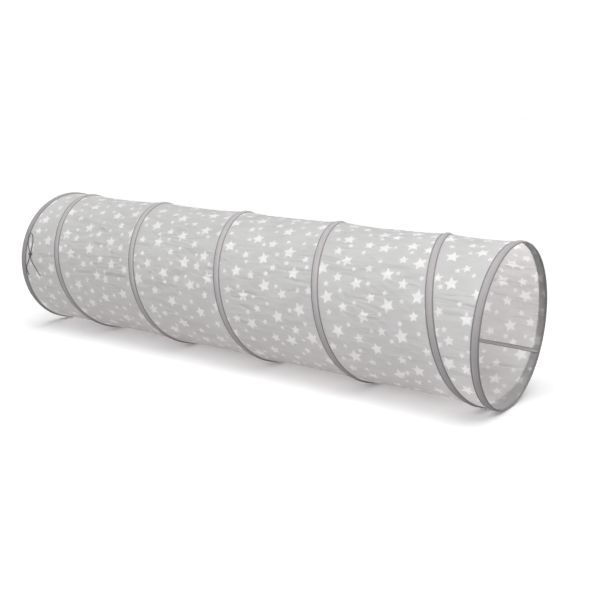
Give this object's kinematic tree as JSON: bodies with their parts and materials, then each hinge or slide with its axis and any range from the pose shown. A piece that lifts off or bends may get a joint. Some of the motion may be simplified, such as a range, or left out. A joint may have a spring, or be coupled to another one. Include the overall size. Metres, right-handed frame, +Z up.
{
  "type": "kids play tunnel",
  "caption": "Pop-up fabric play tunnel: a round star-print tube on a sprung wire coil in sewn tape sleeves, with bound rims and a cord tie.",
  "frame": {"origin": "the point on the floor under the middle of the tunnel", "axes": "+X runs along the tunnel from the end that carries the tie to the other end, -Y is the side that the tie hangs on, +Z is up"},
  "size_m": [1.81, 0.4813, 0.4765],
  "materials": {
    "fabric": "thin plain-weave polyester, light grey with scattered white stars",
    "tape": "woven polyester tape, mid grey",
    "cord": "round woven cord, dark grey",
    "metal": "drawn spring steel"
  },
  "bodies": {
    "left_end": {"left_rim_tape": "tape", "left_ferrule": "metal", "tie_tab": "tape", "tie_strand_left": "cord", "tie_strand_right": "cord", "tie_knot": "cord"},
    "turn_1": {"coil_sleeve_1": "tape", "fabric_panel_1": "fabric", "seam_tape_1": "tape"},
    "turn_2": {"coil_sleeve_2": "tape", "fabric_panel_2": "fabric", "seam_tape_2": "tape"},
    "turn_3": {"coil_sleeve_3": "tape", "fabric_panel_3": "fabric", "seam_tape_3": "tape", "spring_wire": "metal"},
    "turn_4": {"coil_sleeve_4": "tape", "fabric_panel_4": "fabric", "seam_tape_4": "tape"},
    "turn_5": {"coil_sleeve_5": "tape", "fabric_panel_5": "fabric", "seam_tape_5": "tape"},
    "right_end": {"right_rim_tape": "tape", "right_ferrule": "metal"}
  },
  "joints": [
    {"name": "collapse", "type": "slide", "parent": "left_end", "child": "turn_1", "axis": [-1, 0, 0], "range_m": [0, 0.146], "stiffness_N_per_m": 128, "deforming": ["fabric_panel_1", "coil_sleeve_1", "seam_tape_1"]},
    {"name": "collapse_2", "type": "slide", "parent": "turn_1", "child": "turn_2", "axis": [-1, 0, 0], "range_m": [0, 0.3428], "stiffness_N_per_m": 70, "deforming": ["fabric_panel_2", "coil_sleeve_2", "seam_tape_2"]},
    {"name": "collapse_3", "type": "slide", "parent": "turn_2", "child": "turn_3", "axis": [-1, 0, 0], "range_m": [0, 0.3428], "stiffness_N_per_m": 70, "deforming": ["fabric_panel_3", "coil_sleeve_3", "seam_tape_3", "spring_wire"]},
    {"name": "collapse_4", "type": "slide", "parent": "turn_3", "child": "turn_4", "axis": [-1, 0, 0], "range_m": [0, 0.3428], "stiffness_N_per_m": 70, "deforming": ["fabric_panel_4", "coil_sleeve_4", "seam_tape_4"]},
    {"name": "collapse_5", "type": "slide", "parent": "turn_4", "child": "turn_5", "axis": [-1, 0, 0], "range_m": [0, 0.3428], "stiffness_N_per_m": 70, "deforming": ["fabric_panel_5", "coil_sleeve_5", "seam_tape_5"]},
    {"name": "collapse_6", "type": "slide", "parent": "turn_5", "child": "right_end", "axis": [-1, 0, 0], "range_m": [0, 0.0833], "stiffness_N_per_m": 193}
  ],
  "couplings": [
    {"joint": "collapse_2", "follows": "collapse", "ratio": 2.347},
    {"joint": "collapse_3", "follows": "collapse", "ratio": 2.347},
    {"joint": "collapse_4", "follows": "collapse", "ratio": 2.347},
    {"joint": "collapse_5", "follows": "collapse", "ratio": 2.347},
    {"joint": "collapse_6", "follows": "collapse", "ratio": 0.57}
  ]
}
